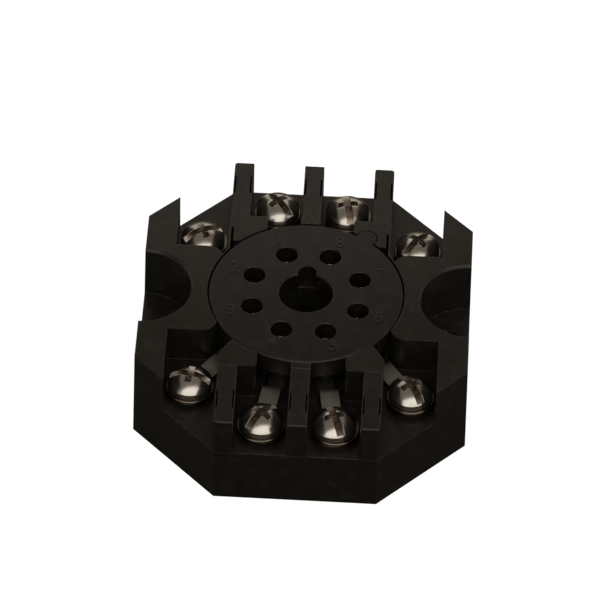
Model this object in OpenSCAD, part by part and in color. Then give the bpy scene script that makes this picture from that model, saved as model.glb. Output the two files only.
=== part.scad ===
// Eight-pin relay socket with screw terminals.
// Origin: centre of the underside. X across the two mounting ears, Y towards
// the keyway, Z up. Units are millimetres.

/* [Housing] */
// Width over the two mounting ears at the underside, along X
body_w = 50.6; // [50.2:0.1:52]
// Depth over the terminal rows at the underside, along Y
body_d = 56.8; // [56.4:0.1:60]
// Height from the underside to the top face
body_h = 15.9; // [15.4:0.1:17]
// How far the side faces lean in, from the underside to the top
draft = 0.25; // [0:0.05:0.4]
// Chamfer along the top edges
edge = 0.2; // [0.1:0.05:0.3]
// Leg of the 45 degree cut at each corner
corner_cut = 13.05; // [12.6:0.05:13.4]
// Height of the terminal pocket floors
floor_z = 9.4; // [9:0.1:9.8]
// Width of the barriers between the terminals
barrier_w = 3; // [2.6:0.1:3.2]
// Distance between the centre lines of neighbouring barriers
barrier_pitch = 10.95; // [10.8:0.05:11.2]
// Inner end of the two middle pockets of each row
pocket_y = 16.2; // [15.8:0.1:16.4]
// Inner end of the corner pockets
ear_y = 9.1; // [9:0.1:9.6]
// Thickness of the ear walls beside the corner pockets
ear_wall = 4.8; // [3.8:0.05:5]

/* [Mounting] */
// Distance between the two mounting holes
mount_pitch = 44; // [43.5:0.1:44.5]
// Diameter of the mounting holes
mount_d = 4.8; // [3.6:0.1:5]
// Distance between the centres of the half-round wells
well_pitch = 50; // [49.5:0.1:50.4]
// Radius of the half-round wells above the mounting holes
well_r = 7.45; // [7:0.05:7.5]
// Height of the floor of the wells
well_z = 6.7; // [4:0.1:8]

/* [Pin face] */
// Diameter of the pin circle
pin_circle = 17.45; // [17.4:0.05:17.5]
// Diameter of the pin holes
pin_hole_d = 3.3; // [2.8:0.1:3.4]
// Diameter of the socket disc
disc_d = 29.7; // [29.5:0.1:29.8]
// Thickness of the socket disc
disc_t = 3.2; // [2.8:0.1:3.4]
// Diameter of the centre hole
key_bore_d = 8.2; // [8:0.1:8.4]
// Width of the keyway
key_w = 2.8; // [2:0.1:3]
// Reach of the keyway from the centre
key_reach = 5.7; // [5.2:0.1:6]
// Direction of the locating lug on the disc's rim
lug_angle = 55; // [50:1:58]

/* [Terminals] */
// Terminal screw of the middle pockets, from the centre
row_screw = [5.45, 22.9];
// Terminal screw of the corner pockets, from the centre
corner_screw = [16.65, 15.6];
// Width of the terminal strips
strip_w = 2.85; // [2.4:0.05:3]
// Thickness of the terminal strips
strip_t = 0.8; // [0.6:0.05:0.9]
// Outer diameter of the clamp washers
washer_d = 7.3; // [7:0.1:7.3]
// Diameter of the screw heads
head_d = 6.7; // [6.4:0.1:6.8]
// Angle of each screw's slot, by terminal number
slot_angles = [-48, 26, -10, 52, -69, -59, 49, -78];
// Where each loose washer lies, off its screw's axis
washer_shifts = [[0, -0.1], [0.2, -0.1], [0, -0.2], [-0.1, -0.2],
                 [0.2, -0.1], [0, -0.2], [0.05, -0.1], [0.15, -0.15]];

/* [Hidden] */

$fn = 64;
cut = 1;                             // how far a cutter runs past a face
fit = 0.2;                           // gap round the pieces that drop in
pin_step = 45;                       // angle between neighbouring pins
key_side = 90;                       // the keyway points along +Y

half_w = body_w / 2;
half_d = body_d / 2;
barrier_out = barrier_pitch + barrier_w / 2;
half_corner = (half_w + half_d - corner_cut) / sqrt(2);
ear_in = half_w - ear_wall;
ear_round = 2.2;                     // rounding of the ears beside the corner pockets

post_rounds = [0.5, 0.4, 0.9];       // rounding of the barriers' outer ends, from -X
slot_w = 0.26;                       // narrow slots in the top of each barrier
slot_inset = 0.17;
slot_depth = 3;
slot_ends = [21.3, 25.1];

fin_w = 0.28;                        // thin wall beside the rear corner strips
slit_w = 0.42;                       // slit between that wall and the deck
slit_end = 13.6;
deck_end = 10.6;                     // where the deck stops short of the disc
well_edge = 0.4;                     // chamfer round the wells

disc_z = body_h - disc_t;            // underside of the disc
lug_r = 1.5;
lug_reach = disc_d / 2 + 0.4;        // the lug's centre, from the disc's
pin_bevel = 0.15;                    // funnel at the top of each pin hole
spigot_z = 1.5;                      // bottom of the well for the relay's spigot
chamber_r = 2.4;                     // round chamber for each contact
chamber_z = 4.8;

strip_low = 6;                       // underside of a strip's inner run
bend_at = 6.9;                       // outer face of the riser, from the contact
bend_r = 0.5;                        // inside radius of the two bends
inner_end = 2;                       // how far a strip runs past its contact
stake_d = 2.2;                       // hole that the contact is staked into
pad_r = 3.1;                         // round pad below the screw
thread_d = 3.4;                      // thread of the terminal screws
screw_hole_z = 2;                    // bottom of the blind hole below each screw
shank_len = 7.6;
tip_cut = 0.6;
washer_z = floor_z + strip_t;
washer_t = 0.45;
head_z = washer_z + washer_t;
head_edge = 0.9;                     // straight side of the head
head_dome = 1.6;                     // rise of the dome above it

black = [0.11, 0.105, 0.10];
steel = [0.78, 0.77, 0.74];
tinned = [0.66, 0.64, 0.60];

// ---- Layout -------------------------------------------------------------

// Pins are numbered counter-clockwise from the keyway, seen from above.
function pin_angle(n) = key_side + pin_step * (n - 0.5);
function pin_spot(n) = pin_circle / 2 * [cos(pin_angle(n)), sin(pin_angle(n))];
function is_row(n) = n == 1 || n == 4 || n == 5 || n == 8;
function side_x(n) = n <= 4 ? -1 : 1;
function side_y(n) = n <= 2 || n >= 7 ? 1 : -1;
function screw_spot(n) =
    let (s = is_row(n) ? row_screw : corner_screw) [side_x(n) * s[0], side_y(n) * s[1]];
function strip_run(n) = screw_spot(n) - pin_spot(n);
function strip_angle(n) = atan2(strip_run(n)[1], strip_run(n)[0]);
function strip_len(n) = norm(strip_run(n));

// Places a strip's own frame: contact at the origin, screw along +X.
module along_strip(n) {
    translate([pin_spot(n)[0], pin_spot(n)[1], 0])
        rotate([0, 0, strip_angle(n)])
            children();
}

module at_screw(n) {
    translate([screw_spot(n)[0], screw_spot(n)[1], 0])
        children();
}

module both_sides() {
    for (mx = [0, 1])
        mirror([mx, 0, 0])
            children();
}

// Mirror image towards the side away from the keyway.
module front() {
    mirror([0, 1, 0])
        children();
}

function arc(centre, r, from, to) =
    [for (i = [0:4]) let (a = from + (to - from) * i / 4) centre + r * [cos(a), sin(a)]];

// ---- Housing ------------------------------------------------------------

// Long bar with leaning sides and chamfered top edges. Four of them, turned
// by 45 degrees, leave the eight-sided body between them.
module leaning_bar(half, angle) {
    top = half - draft;
    rotate([0, 0, angle])
        rotate([90, 0, 0])
            linear_extrude(2 * body_d, center = true)
                polygon([
                    [-half, 0], [half, 0],
                    [top, body_h - edge], [top - edge, body_h],
                    [edge - top, body_h], [-top, body_h - edge]
                ]);
}

module body_block() {
    intersection() {
        leaning_bar(half_w, 0);
        leaning_bar(half_d, 90);
        leaning_bar(half_corner, 45);
        leaning_bar(half_corner, -45);
    }
}

// Inner end of a middle pocket, where its strip comes up from the disc.
module row_pocket_outline() {
    polygon([
        [barrier_w / 2, pocket_y + cut],
        [barrier_w / 2, pin_circle / 2],
        [6.7, pin_circle / 2],
        [6.7, pocket_y - 0.3],
        [7, pocket_y],
        [7, pocket_y + cut]
    ]);
}

// Strip across all the terminals of a row, where only the barriers stand up.
module row_outline() {
    translate([-ear_in, pocket_y])
        square([2 * ear_in, half_d]);
}

// Rounded corner of an ear, beside a corner pocket.
function ear_corner(from) =
    arc([15.4, ear_y - ear_round], ear_round, from, 90);

// Corner pocket with the slanted channel that brings its strip in.
module corner_pocket_outline() {
    polygon(concat(
        [[barrier_out, half_d + cut], [barrier_out, slit_end], [10.1, 10], [12.9, 6.6]],
        ear_corner(165),
        [[ear_in, ear_y], [ear_in, half_d + cut]]
    ));
}

// The same pocket at the rear, above the strip: a thin wall shuts it off.
module walled_pocket_outline() {
    polygon(concat(
        [[barrier_out, half_d + cut], [barrier_out, 10.2], [12.5, 9.3], [12.75, 8.4], [13.1, 7.6]],
        ear_corner(160),
        [[ear_in, ear_y], [ear_in, half_d + cut]]
    ));
}

// Slit behind the thin wall, down to the gap round the disc.
module slit_outline() {
    wall_in = barrier_out - fin_w;
    polygon([
        [wall_in - slit_w, slit_end],
        [wall_in, slit_end],
        [wall_in, 8.5],
        [10, 8.5],
        [10, deck_end],
        [wall_in - slit_w, deck_end]
    ]);
}

// Room below the disc for one contact and the inner run of its strip.
module strip_channel(n) {
    width = strip_w + 2 * fit;
    along_strip(n) {
        translate([0, 0, chamber_z])
            cylinder(r = chamber_r, h = disc_z - chamber_z + cut);
        translate([0, -width / 2, strip_low])
            cube([bend_at + bend_r, width, disc_z - strip_low + cut]);
    }
}

module pockets() {
    strip_gap = strip_t + 0.3;
    translate([0, 0, floor_z]) {
        linear_extrude(body_h)
            both_sides() {
                row_pocket_outline();
                row_outline();
                front() row_pocket_outline();
                front() row_outline();
                front() corner_pocket_outline();
                walled_pocket_outline();
                slit_outline();
            }
        linear_extrude(strip_gap)
            both_sides()
                corner_pocket_outline();
    }
}

// Half-round well with a chamfered rim, and the mounting hole in its floor.
module ear_cutter(side) {
    translate([side * well_pitch / 2, 0, well_z])
        cylinder(r = well_r, h = body_h, $fn = 96);
    translate([side * well_pitch / 2, 0, body_h - well_edge])
        cylinder(r1 = well_r, r2 = well_r + well_edge + cut, h = well_edge + cut, $fn = 96);
    translate([side * mount_pitch / 2, 0, -cut])
        cylinder(d = mount_d, h = body_h);
}

module housing() {
    color(black)
    difference() {
        body_block();
        pockets();
        translate([0, 0, disc_z])
            cylinder(d = disc_d + 2 * fit, h = disc_t + cut, $fn = 128);
        rotate([0, 0, lug_angle])
            translate([lug_reach, 0, disc_z])
                cylinder(r = lug_r + fit, h = disc_t + cut);
        translate([0, 0, spigot_z])
            cylinder(d = key_bore_d + 3 * fit, h = body_h);
        for (n = [1:8]) {
            strip_channel(n);
            at_screw(n)
                translate([0, 0, screw_hole_z])
                    cylinder(d = thread_d + 3 * fit, h = floor_z);
        }
        for (side = [-1, 1])
            ear_cutter(side);
    }
}

// Bar for one barrier, from the pocket's inner end outwards: rounded at its
// outer end, chamfered along the top, with a narrow slot beside each edge.
module barrier_bar(end_r) {
    height = body_h - floor_z;
    length = half_d - pocket_y;
    difference() {
        intersection() {
            linear_extrude(height) {
                square([barrier_w, length - end_r]);
                translate([end_r, 0])
                    square([barrier_w - 2 * end_r, length]);
                for (x = [end_r, barrier_w - end_r])
                    translate([x, length - end_r])
                        circle(r = end_r);
            }
            translate([0, length, 0])
                rotate([90, 0, 0])
                    linear_extrude(length)
                        polygon([
                            [0, 0], [barrier_w, 0],
                            [barrier_w, height - edge], [barrier_w - edge, height],
                            [edge, height], [0, height - edge]
                        ]);
        }
        for (x = [slot_inset, barrier_w - slot_inset - slot_w])
            translate([x, slot_ends[0] - pocket_y, height - slot_depth])
                cube([slot_w, slot_ends[1] - slot_ends[0], slot_depth + cut]);
    }
}

// Upright wall between two terminals: 1 to 3 along the row at the keyway,
// 4 to 6 along the other, each from -X to +X.
module barrier(n) {
    column = (n - 1) % 3 - 1;
    side = n <= 3 ? 0 : 1;
    color(black)
    intersection() {
        body_block();
        mirror([0, side, 0])
            translate([column * barrier_pitch - barrier_w / 2, pocket_y, floor_z])
                barrier_bar(post_rounds[column + 1]);
    }
}

// ---- Socket disc --------------------------------------------------------

// Hole through the disc with its upper edge taken off.
module disc_hole(d, bevel) {
    translate([0, 0, -cut])
        cylinder(d = d, h = disc_t + 2 * cut);
    translate([0, 0, disc_t - bevel])
        cylinder(d1 = d, d2 = d + 2 * (bevel + cut), h = bevel + cut);
}

module socket_disc() {
    key_end = key_reach - key_w / 2;
    color(black * 1.1)
    translate([0, 0, disc_z])
    difference() {
        union() {
            cylinder(d = disc_d, h = disc_t - edge, $fn = 128);
            translate([0, 0, disc_t - edge])
                cylinder(d1 = disc_d, d2 = disc_d - 2 * edge, h = edge, $fn = 128);
            rotate([0, 0, lug_angle])
                translate([lug_reach, 0, 0])
                    cylinder(r = lug_r, h = disc_t);
        }
        disc_hole(key_bore_d, edge);
        translate([-key_w / 2, 0, -cut])
            cube([key_w, key_end, disc_t + 2 * cut]);
        translate([0, key_end, -cut])
            cylinder(d = key_w, h = disc_t + 2 * cut);
        for (n = [1:8])
            translate([pin_spot(n)[0], pin_spot(n)[1], 0])
                disc_hole(pin_hole_d, pin_bevel);
    }
}

// ---- Terminals ----------------------------------------------------------

// Side view of a strip: inner run, riser and outer run, with two round bends.
module strip_profile(len) {
    turn = bend_r + strip_t;
    riser = bend_at - strip_t;
    translate([-inner_end, strip_low])
        square([riser - bend_r + inner_end, strip_t]);
    translate([riser, strip_low + turn])
        square([strip_t, floor_z - strip_low - turn - bend_r]);
    translate([bend_at + bend_r, floor_z])
        square([len - bend_at - bend_r, strip_t]);
    translate([riser - bend_r, strip_low + turn])
        bend(-90);
    translate([bend_at + bend_r, floor_z - bend_r])
        bend(90);
}

// Quarter ring of the strip's thickness, starting at the given angle.
module bend(start) {
    turn = bend_r + strip_t;
    rotate(start)
        intersection() {
            difference() {
                circle(r = turn);
                circle(r = bend_r);
            }
            square(turn);
        }
}

module terminal(n) {
    color(tinned)
    along_strip(n)
    difference() {
        union() {
            translate([0, strip_w / 2, 0])
                rotate([90, 0, 0])
                    linear_extrude(strip_w) strip_profile(strip_len(n));
            translate([strip_len(n), 0, floor_z])
                cylinder(r = pad_r, h = strip_t);
        }
        translate([strip_len(n), 0, floor_z - cut])
            cylinder(d = thread_d + 0.2, h = strip_t + 2 * cut);
        translate([0, 0, strip_low - cut])
            cylinder(d = stake_d, h = strip_t + 2 * cut);
    }
}

// Spring sleeve: staked through the strip, bored for the pin and slit in four.
module contact(n) {
    sleeve_r = 1.8;
    sleeve_z = strip_low + strip_t;
    sleeve_top = disc_z - 0.3;
    pin_d = 2.4;
    lead_in = 0.4;
    stake_head = 0.5;
    base_t = 0.3;
    slit = 0.4;
    color(tinned)
    along_strip(n)
    difference() {
        union() {
            translate([0, 0, sleeve_z])
                cylinder(r = sleeve_r, h = sleeve_top - sleeve_z);
            translate([0, 0, strip_low - stake_head])
                cylinder(d = stake_d, h = strip_t + stake_head);
            translate([0, 0, strip_low - stake_head])
                cylinder(r = sleeve_r - base_t, h = stake_head);
        }
        translate([0, 0, sleeve_z + base_t])
            cylinder(d = pin_d, h = sleeve_top);
        translate([0, 0, sleeve_top - lead_in])
            cylinder(d1 = pin_d, d2 = pin_d + 2 * lead_in, h = lead_in + 0.01);
        for (a = [45, 135])
            rotate([0, 0, a])
                translate([-pin_d, -slit / 2, sleeve_z + 4 * base_t])
                    cube([2 * pin_d, slit, sleeve_top]);
    }
}

// ---- Clamp screws -------------------------------------------------------

// Flat washer with its edges rolled off, loose on the screw.
module washer(n) {
    shift = washer_shifts[n - 1];
    bore = 2;
    rim = washer_d / 2;
    roll = 0.1;
    color(steel)
    at_screw(n)
    translate([shift[0], shift[1], washer_z])
        rotate_extrude($fn = 96)
            polygon([
                [bore, 0],
                [rim - roll, 0],
                [rim, roll],
                [rim, washer_t - roll],
                [rim - roll, washer_t],
                [bore, washer_t]
            ]);
}

// Half section of the screw: pointed shank, straight edge of the head, dome.
module screw_section() {
    head_r = head_d / 2;
    thread_r = thread_d / 2;
    tip = head_z - shank_len;
    dome_r = (pow(head_r, 2) + pow(head_dome, 2)) / (2 * head_dome);
    polygon([[0, tip], [thread_r - tip_cut, tip], [thread_r, tip + tip_cut], [0, tip + tip_cut]]);
    translate([0, tip + tip_cut])
        square([thread_r, shank_len]);
    translate([0, head_z])
        square([head_r, head_edge]);
    translate([0, head_z + head_edge])
        intersection() {
            translate([0, head_dome - dome_r])
                circle(r = dome_r, $fn = 96);
            square([head_r, head_dome]);
        }
}

// Combined recess: a full-width slot and a cross that narrows downwards.
module recess() {
    slot = 1.15;
    slot_deep = 1.35;
    cross = 1;
    cross_deep = 1.9;
    wide = 1.9;
    narrow = 0.55;
    top = head_z + head_edge + head_dome;
    translate([-head_d, -slot / 2, top - slot_deep])
        cube([2 * head_d, slot, slot_deep + cut]);
    for (a = [0, 90])
        rotate([0, 0, a])
            translate([0, cross / 2, top])
                rotate([90, 0, 0])
                    linear_extrude(cross)
                        polygon([[-wide, cut], [-wide, 0], [-narrow, -cross_deep],
                                 [narrow, -cross_deep], [wide, 0], [wide, cut]]);
}

module screw(n) {
    color(steel)
    at_screw(n)
    rotate([0, 0, slot_angles[n - 1]])
    difference() {
        rotate_extrude() screw_section();
        recess();
    }
}

housing();
socket_disc();
for (n = [1:6])
    barrier(n);
for (n = [1:8]) {
    terminal(n);
    contact(n);
    washer(n);
    screw(n);
}
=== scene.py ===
# %% [markdown]
# # An eight-pin relay socket
#
# The object is a flat, black, eight-sided socket that a plug-in relay stands
# in. A keyed round disc takes the relay's pins, eight screws clamp the wires,
# and two half-round wells take the mounting screws. Every rigid piece comes
# from the CAD model. This script gives those pieces their finishes and adds
# the forms that are too fine for the model: raised pin numbers, screw threads
# and the flared lips of the contacts.

# %% Load the fixed frame
import math

import bmesh
import bpy
from mathutils import Matrix, Vector


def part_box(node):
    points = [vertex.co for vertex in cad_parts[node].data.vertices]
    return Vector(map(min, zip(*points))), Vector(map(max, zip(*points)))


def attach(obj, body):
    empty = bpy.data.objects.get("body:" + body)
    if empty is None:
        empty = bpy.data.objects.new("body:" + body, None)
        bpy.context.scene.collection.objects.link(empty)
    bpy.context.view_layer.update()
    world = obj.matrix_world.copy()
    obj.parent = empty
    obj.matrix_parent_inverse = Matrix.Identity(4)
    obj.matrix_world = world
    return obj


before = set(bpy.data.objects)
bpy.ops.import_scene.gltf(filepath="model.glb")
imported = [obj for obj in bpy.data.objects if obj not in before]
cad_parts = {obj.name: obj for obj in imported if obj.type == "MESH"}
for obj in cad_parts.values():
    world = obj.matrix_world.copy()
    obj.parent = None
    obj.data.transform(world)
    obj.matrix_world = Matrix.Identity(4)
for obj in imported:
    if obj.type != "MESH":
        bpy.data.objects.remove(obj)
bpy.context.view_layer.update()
MM = 0.001
TERMINALS = range(1, 9)
BARRIERS = range(1, 7)

# %% [markdown]
# ## Camera
#
# A small product is shot with a long lens, so that its sides stay nearly
# parallel. The camera is placed by the angle round the object, the height
# angle and the distance, which are the numbers that a photographer would note.
# It leans a little, as a hand-set tripod head does.

# %% Camera
AIM = Vector((-1.09, 6.58, 7.65)) * MM
AZIMUTH, ELEVATION, LEAN = (math.radians(a) for a in (1.75, 44.85, 1.62))
DISTANCE = 759.2 * MM

towards = Vector((math.sin(AZIMUTH) * math.cos(ELEVATION),
                  -math.cos(AZIMUTH) * math.cos(ELEVATION),
                  math.sin(ELEVATION)))
camera = bpy.data.objects.new("camera", bpy.data.cameras.new("camera"))
camera.data.lens = 295.2
camera.data.sensor_width = 36
camera.data.clip_start, camera.data.clip_end = 0.05, 10
turn = towards.to_track_quat("Z", "Y").to_matrix().to_4x4()
camera.matrix_world = (Matrix.Translation(AIM + towards * DISTANCE) @ turn
                       @ Matrix.Rotation(LEAN, 4, "Z"))
bpy.context.scene.collection.objects.link(camera)
bpy.context.scene.camera = camera
bpy.context.scene.view_settings.view_transform = "Standard"
print("Camera", round(DISTANCE, 3), "m away")

# %% [markdown]
# ## Colours and nodes
#
# Colours are picked as sRGB hex values, as on a screen, while Cycles works
# with linear light, so one function turns the one into the other. A second
# function adds a node with its settings and links, which keeps each material
# readable from the pattern down to the shader.

# %% Helpers for materials
def linear(code):
    """The linear RGBA colour of an sRGB hex value."""
    parts = [int(code[i:i + 2], 16) / 255 for i in (1, 3, 5)]
    return [c / 12.92 if c <= 0.04045 else ((c + 0.055) / 1.055) ** 2.4
            for c in parts] + [1]


def add(tree, kind, settings=(), **links):
    """Adds a node; settings name attributes or sockets, links feed sockets."""
    made = tree.nodes.new(kind)
    for name, value in dict(settings).items():
        if isinstance(name, str) and hasattr(made, name):
            setattr(made, name, value)
        else:
            made.inputs[name].default_value = value
    for name, source in links.items():
        key = int(name[1:]) if name[1:].isdigit() else name.replace("_", " ")
        tree.links.new(source, made.inputs[key])
    return made


def material(name):
    """An empty material with an output node, and its node tree."""
    made = bpy.data.materials.new(name)
    made.use_nodes = True
    made.node_tree.nodes.clear()
    return made, made.node_tree


def dress(names, finish):
    """Gives CAD nodes a finish in every material slot."""
    for name in names:
        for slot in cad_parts[name].material_slots:
            slot.material = finish


# %% [markdown]
# ## Floor, world and lamps
#
# The socket stands on white paper under one wide round-ended softbox, high up
# in front and a little to the right. It shows as the white crescent on the near
# side of each screw head. A second, very small and warmer lamp stands close
# behind the object: its glancing light makes the rear tops paler than the front
# ones. The room gives a little warm light from above and hardly any from below,
# which keeps the upright faces of the black plastic deep. What shines mirrors
# a backdrop that is pale near the floor and dims with height. The paper is
# white to the camera, but it throws back little light, as a small sheet in a
# dark room does.

# %% Floor
FLOOR_SIDE = 6.0
shape = bmesh.new()
bmesh.ops.create_grid(shape, x_segments=1, y_segments=1, size=FLOOR_SIDE / 2)
floor = bpy.data.objects.new("floor", bpy.data.meshes.new("floor"))
shape.to_mesh(floor.data)
shape.free()
bpy.context.scene.collection.objects.link(floor)

paper, tree = material("white_paper")
rays = add(tree, "ShaderNodeLightPath")
tone = add(tree, "ShaderNodeMix", {"data_type": "RGBA", 6: linear("#6c6a66"),
                                   7: linear("#ffffff")},
           _0=rays.outputs["Is Camera Ray"])
matt = add(tree, "ShaderNodeBsdfDiffuse", Color=tone.outputs[2])
glow = add(tree, "ShaderNodeEmission", {"Color": linear("#ffffff"), "Strength": 1.2})
seen = add(tree, "ShaderNodeMath", {"operation": "MULTIPLY", 1: 0.82},
           _0=rays.outputs["Is Camera Ray"])
mixed = add(tree, "ShaderNodeMixShader", _0=seen.outputs[0], _1=matt.outputs[0],
            _2=glow.outputs[0])
add(tree, "ShaderNodeOutputMaterial", Surface=mixed.outputs[0])
floor.data.materials.append(paper)

# %% World
# Heights here are the upward part of a direction: 0 is level, 1 is straight up.
world = bpy.data.worlds.new("studio")
world.use_nodes = True
tree = world.node_tree
tree.nodes.clear()
rays = add(tree, "ShaderNodeLightPath")
where = add(tree, "ShaderNodeTexCoord")
height = add(tree, "ShaderNodeSeparateXYZ", _0=where.outputs["Generated"])
level = add(tree, "ShaderNodeMapRange",
            {"From Min": 0.25, "From Max": 0.8, "To Min": 0.05, "To Max": 0.3},
            Value=height.outputs[2])
sweep = add(tree, "ShaderNodeMapRange",
            {"From Min": 0.6, "From Max": 0.35, "To Min": 0.18, "To Max": 0.6},
            Value=height.outputs[2])
mirrored = add(tree, "ShaderNodeMix", {"data_type": "FLOAT"},
               _0=rays.outputs["Is Glossy Ray"], _2=level.outputs[0],
               _3=sweep.outputs[0])
strength = add(tree, "ShaderNodeMix", {"data_type": "FLOAT", 3: 1.0},
               _0=rays.outputs["Is Camera Ray"], _2=mirrored.outputs[0])
warm = add(tree, "ShaderNodeMix", {"data_type": "RGBA", 6: linear("#fff1e1"),
                                   7: linear("#ffffff")},
           _0=rays.outputs["Is Camera Ray"])
sky = add(tree, "ShaderNodeBackground", Color=warm.outputs[2],
          Strength=strength.outputs[0])
add(tree, "ShaderNodeOutputWorld", Surface=sky.outputs[0])
bpy.context.scene.world = world

# %% Softboxes
def softbox(name, azimuth, elevation, distance, width, height, power, colour):
    """A flat oval lamp that looks at the middle of the object's foot."""
    lamp = bpy.data.objects.new(name, bpy.data.lights.new(name, "AREA"))
    lamp.data.shape, lamp.data.energy = "ELLIPSE", power
    lamp.data.size, lamp.data.size_y = width, height
    lamp.data.color = linear(colour)[:3]
    a, e = math.radians(azimuth), math.radians(elevation)
    away = Vector((math.sin(a) * math.cos(e), -math.cos(a) * math.cos(e), math.sin(e)))
    lamp.matrix_world = (Matrix.Translation(away * distance)
                         @ away.to_track_quat("Z", "Y").to_matrix().to_4x4())
    bpy.context.scene.collection.objects.link(lamp)


softbox("softbox_key", azimuth=13, elevation=51, distance=0.9, width=1.6,
        height=0.56, power=2.85, colour="#fffaf4")
softbox("softbox_back", azimuth=186, elevation=42, distance=0.07, width=0.08,
        height=0.026, power=0.0023, colour="#fff0df")

# %% [markdown]
# ## Black phenolic moulding
#
# The housing, its barriers and the disc are black phenolic, pressed hot in a
# steel mould. That gives a dark brown-black with a low, wide sheen, a fine
# orange peel from the mould's skin, and clouds where the powder flowed. Static
# holds dust on it, as an uneven film with pale specks, and handling leaves rub
# marks in three directions and pale chips along the edges. Under the chips,
# every edge is painted a little paler as a painted highlight. Deep corners are
# painted brown as shade. The edges aren't sharp: a Bevel node rounds them in
# the shading. Grain finer than half a millimetre would vanish at this
# distance, so the peel is drawn at that size.

# %% Black phenolic
CLOUD_SIZE = 7 * MM
PEEL_SIZE = 0.5 * MM
SPECK_SPACING = 1.6 * MM
FILM_SIZE = 2.2 * MM
RUB_WIDTH = 0.4 * MM
RUB_TURNS = (25, -50, 80)
MOULDED_EDGE = 0.16 * MM
CORNER_REACH = 4 * MM


def phenolic(name, body, cloud, roughness, rub_and_edge_highlight):
    """Pressed black phenolic; rubbed is how strongly its rub marks show."""
    made, tree = material(name)
    spot = add(tree, "ShaderNodeTexCoord").outputs["Object"]
    flow = add(tree, "ShaderNodeTexNoise",
               {"Scale": 1 / CLOUD_SIZE, "Detail": 4, "Roughness": 0.55}, Vector=spot)
    peel = add(tree, "ShaderNodeTexNoise",
               {"Scale": 1 / PEEL_SIZE, "Detail": 3, "Roughness": 0.5}, Vector=spot)
    dust = add(tree, "ShaderNodeTexVoronoi",
               {"Scale": 1 / SPECK_SPACING, "Randomness": 1.0}, Vector=spot)
    speck = add(tree, "ShaderNodeMapRange",
                {"From Min": 0.045, "From Max": 0.09, "To Min": 0.14, "To Max": 0.0},
                Value=dust.outputs["Distance"])
    patch = add(tree, "ShaderNodeTexNoise",
                {"Scale": 1 / FILM_SIZE, "Detail": 7, "Roughness": 0.72}, Vector=spot)
    film = add(tree, "ShaderNodeMapRange",
               {"From Min": 0.48, "From Max": 0.72, "To Max": 0.1},
               Value=patch.outputs["Fac"])
    edge = add(tree, "ShaderNodeBevel", {"samples": 6, "Radius": MOULDED_EDGE})
    face = add(tree, "ShaderNodeNewGeometry").outputs["True Normal"]
    turned = add(tree, "ShaderNodeVectorMath", {"operation": "DOT_PRODUCT"},
                 _0=edge.outputs[0], _1=face)
    near_edge = add(tree, "ShaderNodeMapRange",
               {"From Min": 0.99, "From Max": 0.8, "To Max": 1.0},
               Value=turned.outputs["Value"])
    # Painted highlight: the lowest level of 0.1 pales every edge a little; above it
    # the peel noise makes real chips.
    chips_and_edge_light = add(tree, "ShaderNodeMapRange",
                {"From Min": 0.49, "From Max": 0.64, "To Min": 0.1, "To Max": 0.95},
                Value=peel.outputs["Fac"])
    edge_chips_and_highlight = add(tree, "ShaderNodeMath", {"operation": "MULTIPLY"},
                _0=near_edge.outputs[0], _1=chips_and_edge_light.outputs[0])
    dust_film = add(tree, "ShaderNodeMath", {"operation": "MAXIMUM"},
                    _0=speck.outputs[0], _1=film.outputs[0])
    dust_wear_and_edge_light = add(tree, "ShaderNodeMath", {"operation": "MAXIMUM"},
               _0=dust_film.outputs[0], _1=edge_chips_and_highlight.outputs[0])
    for turn in RUB_TURNS:
        along = add(tree, "ShaderNodeMapping",
                    {"vector_type": "TEXTURE", "Rotation": (0, 0, math.radians(turn)),
                     "Location": (0, turn * MM, 0)}, Vector=spot)
        lay = add(tree, "ShaderNodeMapping", {"Scale": (0.1, 1, 1)},
                  Vector=along.outputs[0])
        rub = add(tree, "ShaderNodeTexNoise",
                  {"Scale": 1 / RUB_WIDTH, "Detail": 2, "Roughness": 0.4},
                  Vector=lay.outputs[0])
        streak = add(tree, "ShaderNodeMapRange",
                     {"From Min": 0.7, "From Max": 0.8, "To Max": rub_and_edge_highlight},
                     Value=rub.outputs["Fac"])
        dust_wear_and_edge_light = add(tree, "ShaderNodeMath", {"operation": "MAXIMUM"},
                   _0=dust_wear_and_edge_light.outputs[0], _1=streak.outputs[0])
    base = add(tree, "ShaderNodeMix", {"data_type": "RGBA", 6: linear(body),
                                       7: linear(cloud)}, _0=flow.outputs["Fac"])
    # Painted shade: corners that the Ambient Occlusion node finds closed in are
    # browned towards #1c0c04.
    open_sky = add(tree, "ShaderNodeAmbientOcclusion",
                   {"samples": 6, "Distance": CORNER_REACH}).outputs["AO"]
    corner_shade = add(tree, "ShaderNodeMapRange",
                {"From Min": 0.45, "From Max": 0.1, "To Max": 0.9}, Value=open_sky)
    corner_shaded = add(tree, "ShaderNodeMix", {"data_type": "RGBA", 7: linear("#1c0c04")},
               _0=corner_shade.outputs[0], _6=base.outputs[2])
    # Dust, rub marks, chips and the painted edge highlight all pale the colour towards
    # #6e6a64.
    dusty_worn_edge_lit = add(tree, "ShaderNodeMix", {"data_type": "RGBA", 7: linear("#6e6a64")},
                _0=dust_wear_and_edge_light.outputs[0], _6=corner_shaded.outputs[2])
    gloss = add(tree, "ShaderNodeMapRange",
                {"To Min": roughness - 0.07, "To Max": roughness + 0.09},
                Value=flow.outputs["Fac"])
    skin = add(tree, "ShaderNodeBump", {"Strength": 0.25, "Distance": 0.02 * MM},
               Height=peel.outputs["Fac"], Normal=edge.outputs[0])
    shader = add(tree, "ShaderNodeBsdfPrincipled",
                 {"IOR": 1.5, "Specular IOR Level": 0.32},
                 Base_Color=dusty_worn_edge_lit.outputs[2], Roughness=gloss.outputs[0],
                 Normal=skin.outputs[0])
    add(tree, "ShaderNodeOutputMaterial", Surface=shader.outputs[0])
    return made


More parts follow.
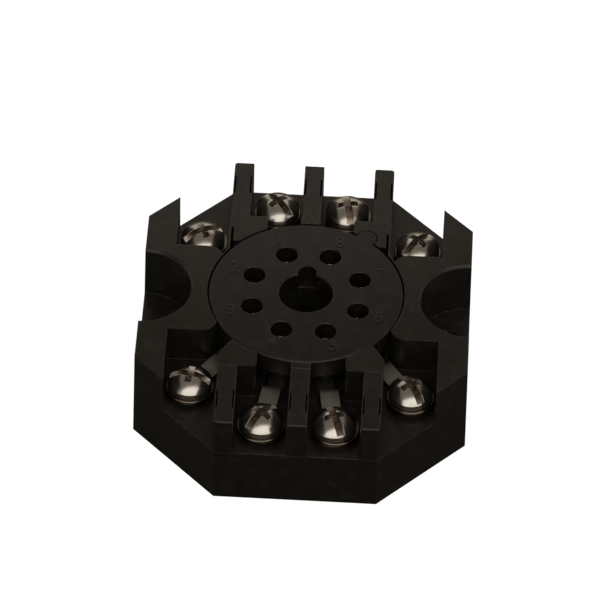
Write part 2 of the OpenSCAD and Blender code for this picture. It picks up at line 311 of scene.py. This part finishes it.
housing_black = phenolic("black_phenolic_housing", "#181612", "#24221d", 0.32, 0.1)
disc_black = phenolic("black_phenolic_disc", "#121110", "#1c1b18", 0.32, 0.15)
rubbed_black = phenolic("black_phenolic_numbers", "#1d1c19", "#262521", 0.26, 0.6)
dress(["housing"] + [f"barrier_{n}" for n in BARRIERS], housing_black)
dress(["socket_disc"], disc_black)
print("Phenolic on", 1 + len(BARRIERS) + 1, "pieces")

# %% [markdown]
# ## Nickel-plated brass
#
# The strips and the contact sleeves are stamped from brass sheet and plated
# with dull nickel. The plating hides the yellow and leaves a soft grey with
# fine lines along the rolling direction, and age stains it a little warmer in
# clouds. Where a strip runs into the dark under the disc it is painted
# brown-black as shade. The lines follow each strip, so each strip has its own
# turn.

# %% Plated sheet for the strips and sleeves
ROLL_LINE = 0.12 * MM
STAIN_SIZE = 3 * MM
SHEET_SHADE_REACH = 5 * MM
SHEET_EDGE = 0.06 * MM


def strip_direction(n):
    """Angle of a strip, from its contact towards its screw."""
    low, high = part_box(f"contact_{n}")
    start = [(a + b) / 2 for a, b in zip(low, high)]
    low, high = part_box(f"screw_{n}")
    end = [(a + b) / 2 for a, b in zip(low, high)]
    return math.atan2(end[1] - start[1], end[0] - start[0])


def plated_sheet(name, angle, light, dark_tone):
    """Dull nickel plating, with rolling lines along the given angle."""
    made, tree = material(name)
    spot = add(tree, "ShaderNodeTexCoord").outputs["Object"]
    along = add(tree, "ShaderNodeMapping",
                {"vector_type": "TEXTURE", "Rotation": (0, 0, angle)}, Vector=spot)
    rolled = add(tree, "ShaderNodeMapping", {"Scale": (0.06, 1, 1)},
                 Vector=along.outputs[0])
    lines = add(tree, "ShaderNodeTexNoise",
                {"Scale": 1 / ROLL_LINE, "Detail": 4, "Roughness": 0.6},
                Vector=rolled.outputs[0])
    cloud = add(tree, "ShaderNodeTexNoise", {"Scale": 1 / STAIN_SIZE, "Detail": 3},
                Vector=spot)
    tint = add(tree, "ShaderNodeMapRange", {"From Min": 0.4, "From Max": 0.75},
               Value=cloud.outputs["Fac"])
    base = add(tree, "ShaderNodeMix", {"data_type": "RGBA", 6: linear(light),
                                       7: linear(dark_tone)}, _0=tint.outputs[0])
    # Painted shade: where the strips run into the dark under the disc, the Ambient
    # Occlusion node browns them towards #2e241b.
    open_sky = add(tree, "ShaderNodeAmbientOcclusion",
                   {"samples": 6, "Distance": SHEET_SHADE_REACH}).outputs["AO"]
    sheet_shade = add(tree, "ShaderNodeMapRange",
                  {"From Min": 0.6, "From Max": 0.25, "To Max": 0.85}, Value=open_sky)
    sheet_shaded = add(tree, "ShaderNodeMix", {"data_type": "RGBA", 7: linear("#2e241b")},
               _0=sheet_shade.outputs[0], _6=base.outputs[2])
    gloss = add(tree, "ShaderNodeMapRange", {"To Min": 0.5, "To Max": 0.7},
                Value=lines.outputs["Fac"])
    edge = add(tree, "ShaderNodeBevel", {"samples": 4, "Radius": SHEET_EDGE})
    skin = add(tree, "ShaderNodeBump", {"Strength": 0.2, "Distance": 0.01 * MM},
               Height=lines.outputs["Fac"], Normal=edge.outputs[0])
    shader = add(tree, "ShaderNodeBsdfPrincipled", {"Metallic": 1.0},
                 Base_Color=sheet_shaded.outputs[2], Roughness=gloss.outputs[0],
                 Normal=skin.outputs[0])
    add(tree, "ShaderNodeOutputMaterial", Surface=shader.outputs[0])
    return made


for n in TERMINALS:
    sheet = plated_sheet(f"nickel_plated_brass_{n}", strip_direction(n),
                         "#d9d5cc", "#b9b2a3")
    dress([f"terminal_{n}", f"contact_{n}"], sheet)
print("Plated sheet on", 2 * len(TERMINALS), "pieces")

# %% [markdown]
# ## Nickel-plated steel
#
# Screws and washers are turned or stamped steel under bright nickel. On a lathe
# the tool leaves rings round the axis, so the pattern is a set of rings with
# the screw's own axis as its centre. The driver recess is painted brown as
# shade and made less metallic, more the deeper it lies, and every edge is
# painted paler as a painted highlight. The washers are a darker, greasier
# nickel, and the same depth rule browns them below their top face. The depth
# of the painted shade is measured down from the dome itself, so it starts at
# the rim of the recess everywhere.

# %% Bright nickel for the screws and washers
RING_WIDTH = 0.14 * MM
WEAR_SIZE = 0.9 * MM
DEPTH_SHADE_STARTS, DEPTH_SHADE_FULL = -0.05 * MM, -0.7 * MM
TURNED_EDGE = 0.09 * MM


def bright_nickel(name, centre, crown, light, depth_shade):
    """Nickel with rings round centre; crown is the radius of its domed top."""
    made, tree = material(name)
    spot = add(tree, "ShaderNodeTexCoord").outputs["Object"]
    own = add(tree, "ShaderNodeVectorMath", {"operation": "SUBTRACT", 1: centre},
              _0=spot)
    parts = add(tree, "ShaderNodeSeparateXYZ", _0=own.outputs[0])
    flat = add(tree, "ShaderNodeCombineXYZ", _0=parts.outputs[0], _1=parts.outputs[1])
    radius = add(tree, "ShaderNodeVectorMath", {"operation": "LENGTH"},
                 _0=flat.outputs[0])
    rings = add(tree, "ShaderNodeTexNoise",
                {"noise_dimensions": "1D", "Scale": 1 / RING_WIDTH, "Detail": 2},
                W=radius.outputs["Value"])
    wear = add(tree, "ShaderNodeTexNoise",
               {"Scale": 1 / WEAR_SIZE, "Detail": 4, "Roughness": 0.6}, Vector=spot)
    # Painted shade: below the dome the colour is browned towards #513a26 and made less
    # metallic, more deeply the further down it lies.
    bowl = add(tree, "ShaderNodeMath", {"operation": "POWER", 1: 2.0},
               _0=radius.outputs["Value"])
    drop = add(tree, "ShaderNodeMath",
               {"operation": "MULTIPLY", 1: 1 / (2 * crown)}, _0=bowl.outputs[0])
    depth = add(tree, "ShaderNodeMath", {"operation": "ADD"}, _0=drop.outputs[0],
                _1=parts.outputs[2])
    uneven = add(tree, "ShaderNodeMath", {"operation": "MULTIPLY_ADD", 1: 0.5 * MM},
                 _0=wear.outputs["Fac"], _2=depth.outputs[0])
    dark_tone = add(tree, "ShaderNodeMapRange",
                {"From Min": DEPTH_SHADE_STARTS, "From Max": DEPTH_SHADE_FULL, "To Max": depth_shade},
                Value=uneven.outputs[0])
    base = add(tree, "ShaderNodeMix",
               {"data_type": "RGBA", 6: linear(light), 7: linear("#513a26")},
               _0=dark_tone.outputs[0])
    gloss = add(tree, "ShaderNodeMapRange", {"To Min": 0.14, "To Max": 0.33},
                Value=wear.outputs["Fac"])
    bare = add(tree, "ShaderNodeMath", {"operation": "MULTIPLY_ADD", 1: -0.3, 2: 1.0},
               _0=dark_tone.outputs[0])
    edge = add(tree, "ShaderNodeBevel", {"samples": 6, "Radius": TURNED_EDGE})
    face = add(tree, "ShaderNodeNewGeometry").outputs["True Normal"]
    turned = add(tree, "ShaderNodeVectorMath", {"operation": "DOT_PRODUCT"},
                 _0=edge.outputs[0], _1=face)
    # Painted highlight: every edge turns paler, towards #f6f1e8, where the Bevel
    # normal bends away from the face.
    near_edge = add(tree, "ShaderNodeMapRange",
               {"From Min": 0.98, "From Max": 0.8, "To Max": 0.8},
               Value=turned.outputs["Value"])
    rub_and_edge_highlight = add(tree, "ShaderNodeMix", {"data_type": "RGBA", 7: linear("#f6f1e8")},
                 _0=near_edge.outputs[0], _6=base.outputs[2])
    skin = add(tree, "ShaderNodeBump", {"Strength": 0.25, "Distance": 0.01 * MM},
               Height=rings.outputs["Fac"], Normal=edge.outputs[0])
    shader = add(tree, "ShaderNodeBsdfPrincipled", Metallic=bare.outputs[0],
                 Base_Color=rub_and_edge_highlight.outputs[2], Roughness=gloss.outputs[0],
                 Normal=skin.outputs[0])
    add(tree, "ShaderNodeOutputMaterial", Surface=shader.outputs[0])
    return made


CROWN_RADIUS = 4.3 * MM
FLAT_RADIUS = 1.0  # a metre, which is flat for a washer
steel = {}
for n in TERMINALS:
    for kind, crown, light, depth_shade in (("screw", CROWN_RADIUS, "#c4c0b8", 0.85),
                                      ("washer", FLAT_RADIUS, "#6b655b", 0.9)):
        low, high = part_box(f"{kind}_{n}")
        top = Vector(((low[0] + high[0]) / 2, (low[1] + high[1]) / 2, high[2]))
        steel[kind, n] = bright_nickel(f"nickel_plated_steel_{kind}_{n}", top,
                                       crown, light, depth_shade)
        dress([f"{kind}_{n}"], steel[kind, n])
print("Bright nickel on", len(steel), "pieces")

# %% [markdown]
# ## Contact lips
#
# Each sleeve is slit into four leaves, and the leaves end in a flared lip that
# leads the relay's pin in. The lips reach a little way up into the disc's
# holes, where their bright edges glint in the dark. Each lip is a small section
# spun round the contact's axis through less than a quarter turn.

# %% Lips of the contacts
LIP_SPAN = math.radians(66)
LIP_STEPS = 8
LIP = [(1.25, -0.3), (1.4, -0.3), (1.53, 0.4), (1.4, 0.42)]  # radius, height in mm
WELD = 0.001 * MM


def lips(n):
    """The four flared lips at the top of one contact."""
    low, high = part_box(f"contact_{n}")
    x, y = (low[0] + high[0]) / 2, (low[1] + high[1]) / 2
    shape = bmesh.new()
    for quarter in range(4):
        start = strip_direction(n) + quarter * math.pi / 2 - LIP_SPAN / 2
        turn = Matrix.Rotation(start, 3, "Z")
        section = shape.faces.new([
            shape.verts.new(turn @ Vector((r * MM, 0, high[2] + z * MM)))
            for r, z in LIP])
        bmesh.ops.spin(shape, geom=[section], axis=(0, 0, 1), cent=(0, 0, 0),
                       angle=LIP_SPAN, steps=LIP_STEPS, use_duplicate=False)
    bmesh.ops.remove_doubles(shape, verts=shape.verts, dist=WELD)
    bmesh.ops.recalc_face_normals(shape, faces=shape.faces)
    bmesh.ops.translate(shape, verts=shape.verts, vec=(x, y, 0))
    made = bpy.data.objects.new(f"lips_{n}", bpy.data.meshes.new(f"lips_{n}"))
    shape.to_mesh(made.data)
    shape.free()
    made.data.materials.append(steel["washer", n])
    bpy.context.scene.collection.objects.link(made)
    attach(made, "socket")
    return made


print("Lips on", len([lips(n) for n in TERMINALS]), "contacts")

# %% [markdown]
# ## Screw threads
#
# The CAD screws have plain shanks. When a screw is backed out its thread shows
# below the washer, so each shank gets a real ridge: one small triangle spun
# round the axis while it climbs by the thread's pitch. The ridge stands so
# little proud that it stays inside the room of the hole.

# %% Threads
PITCH = 25.4 / 32 * MM
SHANK_RADIUS = 1.7 * MM
RIDGE = 0.07 * MM
ROOT = 0.05 * MM
FLANK = 0.42 * PITCH
FIRST_TURN = 0.9 * MM
TURNS = 7
STEPS = 20


def thread(n):
    """A helical ridge on one screw's shank."""
    low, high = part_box(f"screw_{n}")
    x, y = (low[0] + high[0]) / 2, (low[1] + high[1]) / 2
    start = low[2] + FIRST_TURN
    shape = bmesh.new()
    inner = SHANK_RADIUS - ROOT
    section = shape.faces.new([shape.verts.new((inner, 0, start - FLANK)),
                               shape.verts.new((SHANK_RADIUS + RIDGE, 0, start)),
                               shape.verts.new((inner, 0, start + FLANK))])
    bmesh.ops.spin(shape, geom=[section], axis=(0, 0, 1), cent=(0, 0, 0),
                   dvec=(0, 0, PITCH / STEPS), angle=math.tau * TURNS,
                   steps=STEPS * TURNS, use_duplicate=False)
    bmesh.ops.remove_doubles(shape, verts=shape.verts, dist=WELD)
    bmesh.ops.recalc_face_normals(shape, faces=shape.faces)
    bmesh.ops.translate(shape, verts=shape.verts, vec=(x, y, 0))
    made = bpy.data.objects.new(f"thread_{n}", bpy.data.meshes.new(f"thread_{n}"))
    shape.to_mesh(made.data)
    shape.free()
    made.data.materials.append(steel["screw", n])
    bpy.context.scene.collection.objects.link(made)
    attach(made, f"screw_{n}")
    return made


threads = [thread(n) for n in TERMINALS]
print("Thread faces:", sum(len(t.data.polygons) for t in threads))

# %% [markdown]
# ## Raised pin numbers
#
# The mould for the disc has the pin numbers cut into it, so they stand up from
# the face by a hair. They are text turned into mesh, with a narrow round edge
# that catches the light, in a phenolic of their own that is rubbed more than
# the disc, since a raised number wears first. The numbers run counter-clockwise
# from the keyway.

# %% Pin numbers
NUMBER_RADIUS = 12.1 * MM
NUMBER_HEIGHT = 2.2 * MM
CAPITAL_SHARE = 0.7  # height of a numeral as a share of the text size
RAISED = 0.07 * MM
ROUNDED = 0.03 * MM


def pin_number(n):
    """One raised numeral on the disc, outside its pin hole."""
    letters = bpy.data.curves.new(f"letters_{n}", "FONT")
    letters.body = str(n)
    letters.size = NUMBER_HEIGHT / CAPITAL_SHARE
    letters.align_x, letters.align_y = "CENTER", "CENTER"
    letters.extrude = RAISED
    letters.bevel_depth = ROUNDED
    letters.bevel_resolution = 1
    letters.resolution_u = 4
    raw = bpy.data.objects.new(f"raw_{n}", letters)
    bpy.context.scene.collection.objects.link(raw)
    bpy.context.view_layer.update()
    mesh = bpy.data.meshes.new_from_object(raw)
    bpy.data.objects.remove(raw)
    angle = math.radians(90 + 45 * (n - 0.5))
    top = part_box("socket_disc")[1][2]
    mesh.transform(Matrix.Translation((NUMBER_RADIUS * math.cos(angle),
                                       NUMBER_RADIUS * math.sin(angle), top)))
    mesh.name = f"pin_number_{n}"
    made = bpy.data.objects.new(f"pin_number_{n}", mesh)
    made.data.materials.clear()
    made.data.materials.append(rubbed_black)
    bpy.context.scene.collection.objects.link(made)
    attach(made, "socket")
    return made


numbers = [pin_number(n) for n in TERMINALS]
print("Pin numbers:", len(numbers))
